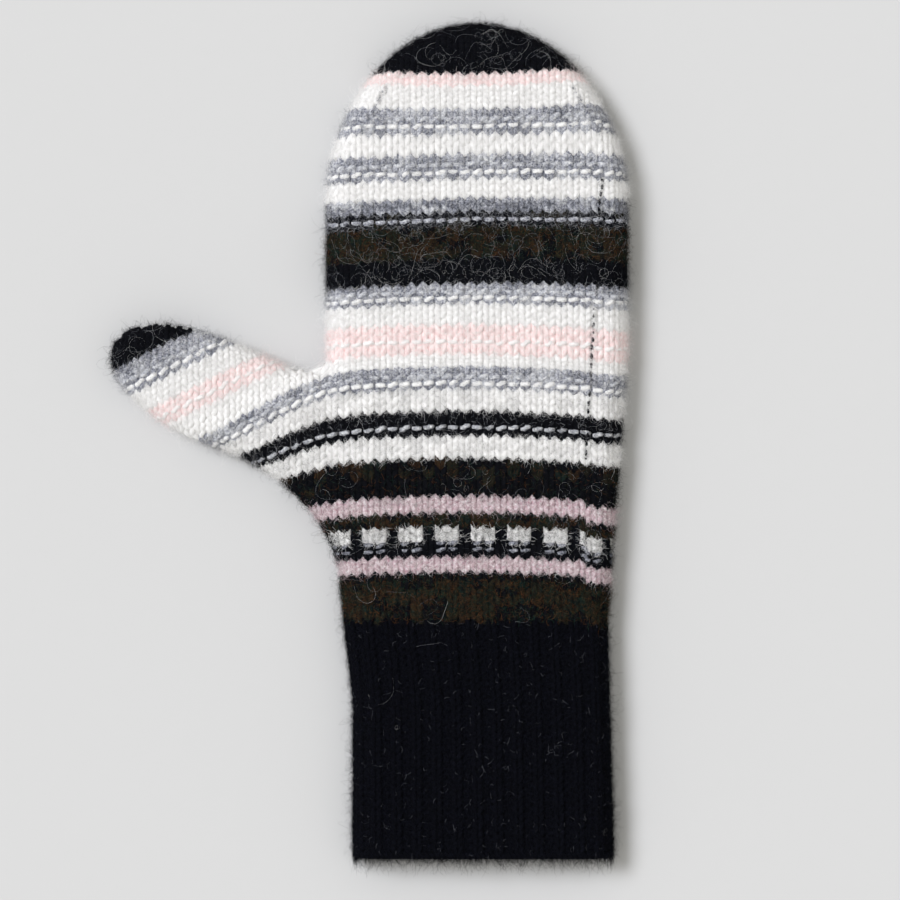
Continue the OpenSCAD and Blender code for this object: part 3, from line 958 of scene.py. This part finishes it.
def fluff_stripe(node):
    """The short fuzz of one stripe, its long stray hairs and the halo round its edges."""
    look = LOOKS[node]
    first, last = PLACES[node]
    thumb = is_thumb(node)
    shares = np.array(list(look.fluff.values()))
    materials = [HAIRS[colour] for colour in look.fluff] + [HAIRS["silver"], HAIRS["white"]]
    spots = scatter(first, last, thumb, SHORT_HAIRS * look.fuzz)
    for start in range(0, spots.shape[1], HAIRS_IN_A_PIECE):
        some = spots[:, start:start + HAIRS_IN_A_PIECE]
        count = some.shape[1]
        colours = rng.choice(len(shares), count, p=shares / shares.sum())
        pile = Pile()
        near_edge = ease(1 - edge_field(some[0], some[1])[0] / 3)
        lift = rng.gamma(2.0, 0.17, count) * (1 + 0.7 * near_edge)
        hairs(pile, some, rng.uniform(0.9, 2.8, count), lift, 1.4, 0.4, 2,
              rng.uniform(0.02, 0.05, count), colours, root=-0.4)
        add_piece(f"{node}_fuzz_{start // HAIRS_IN_A_PIECE}", pile, materials, node)
    pile = Pile()
    spots = scatter(first, last, thumb, look.stray * 0.01, 0.8)
    count = spots.shape[1]
    if count:
        pale = rng.choice([len(shares), len(shares) + 1], count, p=[0.7, 0.3])
        hairs(pile, spots, rng.uniform(5, 18, count), rng.gamma(2.0, 0.5, count), 4.6, 0.4, 18,
              rng.uniform(0.011, 0.021, count), pale)
    spots = scatter(first, last, thumb, HALO_HAIRS, 0.6)
    spots = spots[:, edge_field(spots[0], spots[1])[0] < 2.5]
    count = spots.shape[1]
    if count:
        colours = rng.choice(len(shares), count, p=shares / shares.sum())
        hairs(pile, spots, rng.uniform(2.5, 8, count), rng.gamma(1.6, 0.8, count).clip(0, 5), 2.6, 0.4, 6,
              rng.uniform(0.014, 0.034, count), colours)
    add_piece(f"{node}_stray_hairs", pile, materials, node)


SHORT_HAIRS = 3.2
HALO_HAIRS = 0.9


FRINGE_HAIRS = 5200


def cuff_fringe():
    """Short hairs that stand out beyond the cuff's open edge."""
    count = FRINGE_HAIRS
    right, left = reach_of(0.5, 1)
    spots = np.stack([rng.uniform(left, right, count), MOUTH_Y + rng.uniform(-0.4, 0.6, count),
                      rng.choice([-1.0, 1.0], count)])
    pile = Pile()
    hairs(pile, spots, rng.gamma(2.6, 1.2, count).clip(0.8, 8), rng.uniform(-1.2, 0.4, count), 1.2, 0.5, 5,
          rng.uniform(0.03, 0.06, count), rng.choice(2, count, p=[0.85, 0.15]),
          way=rng.normal(-math.pi / 2, 0.6, count), root=-1.6)
    add_piece("cuff_fringe", pile, [HAIRS["black"], HAIRS["navy"]], "rib_cuff")


def white_blocks():
    """The white stitches of the block stripe, and the grey dashes under each block."""
    first, last = PLACES["block_stripe"]
    pile = Pile()
    for course in (last - 2, last - 1):
        row = stitches(course)
        shown = np.isin(row[:, 3].astype(int) % 3, BLOCK_WALES)
        for start, stop in spans(shown):
            knit_run(pile, row[start:stop], course, 0)
    for drop in (2.05, 2.95):
        dash_round(pile, last - drop, False, 1, 0.85, only=BLOCK_WALES)
    spots = scatter(last - 2, last, False, 2.6)
    wale = (HAND_HALF + FOLD_SPARE - spots[0]) / WALE
    spots = spots[:, wale % 3 < len(BLOCK_WALES)]
    count = spots.shape[1]
    hairs(pile, spots, rng.uniform(1.2, 3.2, count), rng.gamma(2.0, 0.25, count), 1.2, 0.3, 2,
          rng.uniform(0.03, 0.08, count), np.full(count, 2))
    materials = [YARNS["white"], YARNS["slate"], HAIRS["white"]]
    piece = add_piece("white_blocks_knit", pile, materials, "white_blocks")
    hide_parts("white_blocks")


def dotted_yarn_and_shade(name, path, radius, yarn, node):
    """A thin dark yarn with its own fuzz, just under the face, that shows between the stitches
    along a path of flat places. Along the decrease lines this strand is painted shade: a dark strand standing in
    for the shade in their crease."""
    path = resample(np.array(path), 0.35)
    level = np.zeros(len(path))
    beat = np.arange(len(path)) * 0.35 / 2.6 + 0.7 * soft_noise(path[:, 1], level, 3.0, 9)
    sway = 0.5 * soft_noise(path[:, 1], level, 2.0, 3)
    depth = -0.95 + 0.6 * np.cos(2 * math.pi * beat) + 0.4 * soft_noise(path[:, 1], level, 5.0, 4)
    centre, normal = surface(path[:, 0] + sway, path[:, 1], np.ones(len(path)), depth)
    pile = Pile()
    tube(pile, centre, normal, radius, YARN_SIDES, False, 0)
    count = 4 * len(path)
    near = rng.integers(0, len(path), count)
    spots = np.stack([path[near, 0] + rng.normal(0, 0.3, count), path[near, 1], np.ones(count)])
    hairs(pile, spots, rng.uniform(0.6, 1.8, count), rng.gamma(2.0, 0.1, count), 1.4, 0.4, 2,
          rng.uniform(0.02, 0.05, count), np.ones(count, int))
    return add_piece(name, pile, [YARNS[yarn], HAIRS[yarn]], node)


def carried_strand(node):
    """The dark yarn that climbs behind the start of the rounds and shows between the wales."""
    low, high = corners(node)
    heights = np.linspace(low[1], high[1], 20)
    piece = dotted_yarn_and_shade(node + "_yarn", np.stack([jog_x(heights) - 0.4, heights], 1), 0.5, "black", node)
    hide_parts(node)


def decrease_line_shades():
    """The slanting lines where stitches were knitted together, on both sides of the fingertips. Each is drawn as a
    thin slate strand with slate fuzz: painted shade along the crease of the decrease.
    """
    start, end = middle_span("fingertip_grey_stripe")[0], middle_span("dome_white_stripe")[1]
    for side, foot, head in ((-1, 38.2, 30.5), (1, 41.5, 32.0)):
        path = [[side * foot, start], [side * head, end]]
        name = "decrease_shade_left" if side < 0 else "decrease_shade_right"
        # painted shade: the slate strand and its fuzz darken the crease of each decrease line
        dotted_yarn_and_shade(name, path, 0.22, "slate", "dome_white_stripe")


def cast_on_edge():
    """The rolled cast-on edge round the cuff's mouth, one slanting bead to a stitch."""
    pile = Pile()
    rounds = []
    for side in (1, -1):
        right, left = reach_of(0.3, side)
        x = np.linspace(right, left, RIB_WALES * 12 + 1)[:-1]
        x = x if side > 0 else np.linspace(left, right, RIB_WALES * 12 + 1)[:-1]
        rounds.append(np.stack([x, np.full_like(x, side)]))
    x, side = np.concatenate(rounds, 1)
    beat = 2 * math.pi * np.arange(len(x)) / 12
    for phase in (0, math.pi):
        y = course_line(x, np.full_like(x, -0.1), side) + 0.55 * np.sin(beat + phase)
        centre, normal = surface(x, y, side, -1.5 + 0.6 * np.cos(beat + phase))
        tube(pile, centre, normal, 0.85, YARN_SIDES, True, 0)
    add_piece("cuff_cast_on_edge", pile, [YARNS["navy"]], "rib_cuff")


for stripe in LOOKS:
    knit_stripe(stripe)
    fluff_stripe(stripe)
cuff_fringe()
white_blocks()
carried_strand("carried_strand_palm")
carried_strand("carried_strand_fingers")
# painted shade along the two decrease lines
decrease_line_shades()
cast_on_edge()


# ---------------------------------------------------------------- stage, light and camera

def floor():
    size = 3.0
    mesh = bpy.data.meshes.new("floor")
    corner_points = [(-size, -size, 0), (size, -size, 0), (size, size, 0), (-size, size, 0)]
    mesh.from_pydata(corner_points, [], [(0, 1, 2, 3)])
    mat = bpy.data.materials.new("pale_paper")
    mat.use_nodes = True
    nodes, links = mat.node_tree.nodes, mat.node_tree.links
    shader = nodes["Principled BSDF"]
    socket(shader, Roughness=0.95, Specular_IOR_Level=0.1)
    grain = nodes.new("ShaderNodeTexNoise")
    socket(grain, Scale=900.0, Detail=2.0)
    ramp = nodes.new("ShaderNodeValToRGB")
    ramp.color_ramp.elements[0].color = (0.588, 0.588, 0.588, 1)
    ramp.color_ramp.elements[1].color = (0.594, 0.594, 0.594, 1)
    links.new(grain.outputs["Fac"], ramp.inputs["Fac"])
    links.new(ramp.outputs["Color"], shader.inputs["Base Color"])
    mesh.materials.append(mat)
    plane = bpy.data.objects.new("floor", mesh)
    bpy.context.collection.objects.link(plane)


def light():
    world = bpy.data.worlds.new("studio")
    world.use_nodes = True
    background = world.node_tree.nodes["Background"]
    background.inputs["Color"].default_value = (1, 0.985, 0.93, 1)
    background.inputs["Strength"].default_value = SKY
    bpy.context.scene.world = world
    lamp = bpy.data.lights.new("softbox", "SUN")
    lamp.energy = SUN
    lamp.color = (0.936, 0.95, 1)
    lamp.angle = math.radians(24)
    box = bpy.data.objects.new("softbox", lamp)
    toward = Vector((-0.68, 0.32, 1.0))
    box.rotation_euler = toward.to_track_quat("Z", "Y").to_euler()
    bpy.context.collection.objects.link(box)


SKY = 0.62
SUN = 2.64


def camera():
    """Looks straight down; the frame is 300 mm wide at the height of the upper layer."""
    distance, width = 1.6, 0.300
    centre = (np.array(cad_box[0]) + np.array(cad_box[1])) / 2
    lens = bpy.data.cameras.new("camera")
    lens.sensor_width = 36
    lens.lens = 36 * (distance - 0.011) / width
    lens.clip_end = 20
    eye = bpy.data.objects.new("camera", lens)
    eye.location = (centre[0] + 0.027, centre[1] - 0.0038, distance)
    bpy.context.collection.objects.link(eye)
    bpy.context.scene.camera = eye


floor()
light()
camera()
bpy.context.scene.view_settings.view_transform = "Standard"
